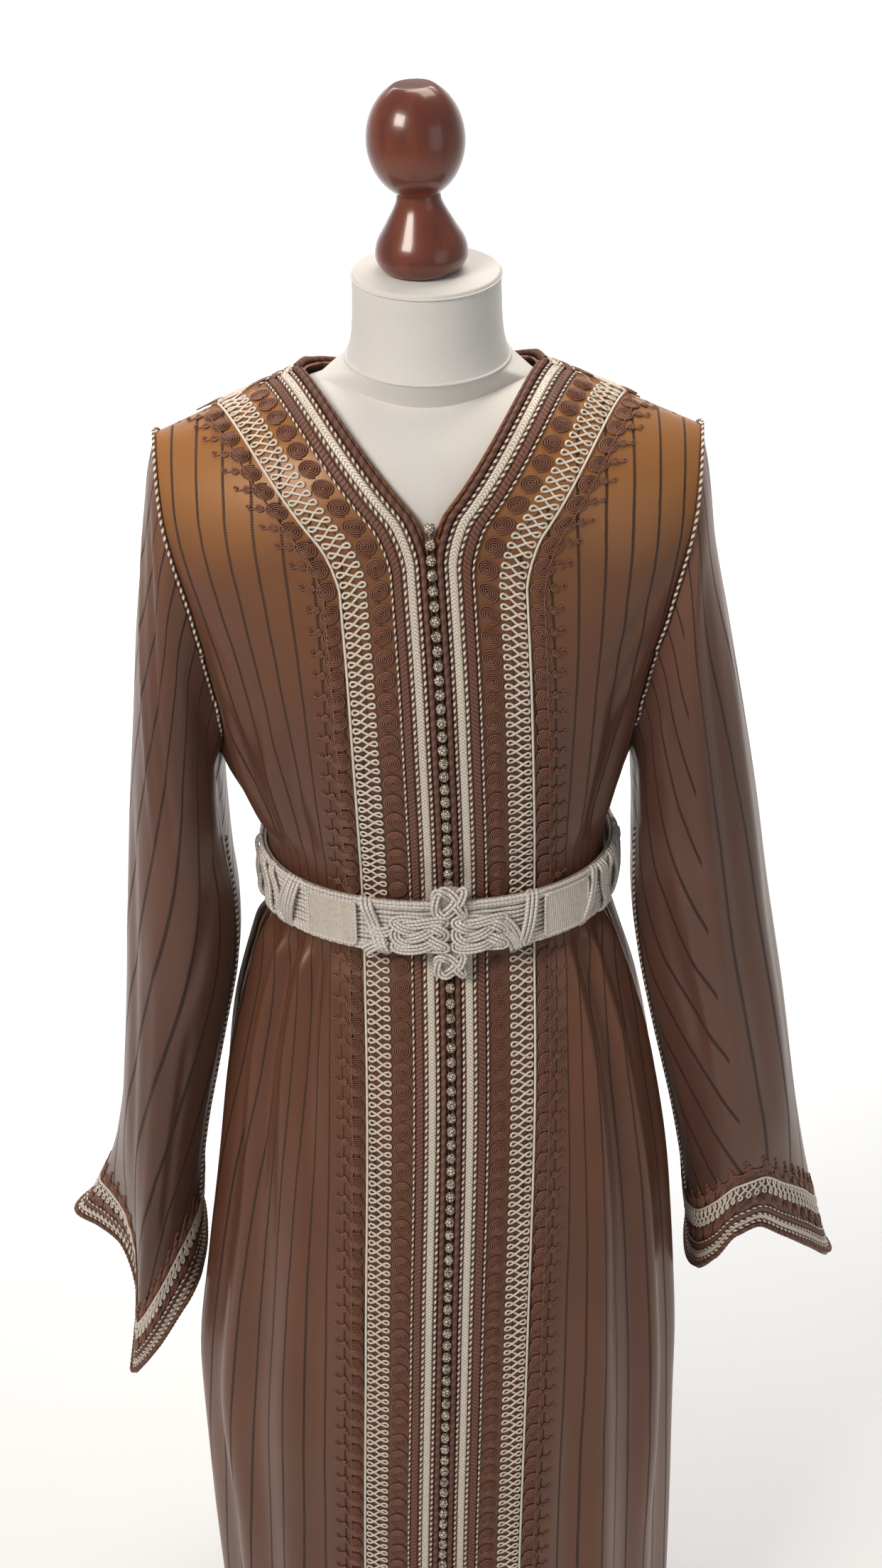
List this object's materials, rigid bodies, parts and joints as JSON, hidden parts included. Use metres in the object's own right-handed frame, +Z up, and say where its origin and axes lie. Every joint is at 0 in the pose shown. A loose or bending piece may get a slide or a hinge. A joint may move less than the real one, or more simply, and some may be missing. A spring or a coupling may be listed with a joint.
{
  "type": "kaftan with corded belt on a limbless dress form",
  "caption": "Full-length V-neck kaftan with long flared sleeves, close buttons, braid and loop lace down the front, a corded belt, worn by a limbless dress form on a pole.",
  "frame": {"origin": "centre of the underside of the stand's round foot, on the floor", "axes": "+Z up the garment, the front faces -Y, +X is the viewer's right seen from the front"},
  "size_m": [0.7545, 0.4799, 1.6702],
  "materials": {
    "satin": "soft satin with fine darker woven stripes",
    "braid": "brown and cream braided rows",
    "lace": "cream cord laid in loops",
    "buttons": "knotted silver and cream thread",
    "seam_cord": "thin twisted cord, brown and cream",
    "belt": "laid metallic cords, silver and cream",
    "jersey": "smooth white jersey over a hard form",
    "wood": "turned, red-brown, satin varnish"
  },
  "bodies": {
    "root": {"front_left": "satin", "front_right": "satin", "back": "satin", "sleeve_left": "satin", "sleeve_right": "satin", "braid_left": "braid", "braid_right": "braid", "braid_neck": "braid", "cuff_braid_left": "braid", "cuff_braid_right": "braid", "lace_left": "lace", "lace_right": "lace", "lace_neck": "lace", "cuff_lace_left": "lace", "cuff_lace_right": "lace", "button_row": "buttons", "armhole_cord_left": "seam_cord", "armhole_cord_right": "seam_cord", "sleeve_cord_left": "seam_cord", "sleeve_cord_right": "seam_cord", "belt_band": "belt", "knot_top": "belt", "knot_bottom": "belt", "knot_left": "belt", "knot_right": "belt", "plaque_left": "belt", "plaque_right": "belt", "wrap_left_inner": "belt", "wrap_left_outer": "belt", "wrap_left_side": "belt", "wrap_right_inner": "belt", "wrap_right_outer": "belt", "wrap_right_side": "belt", "form_torso": "jersey", "form_neck": "jersey", "finial": "wood", "stand_foot": "wood", "stand_pole": "wood"}
  },
  "joints": []
}
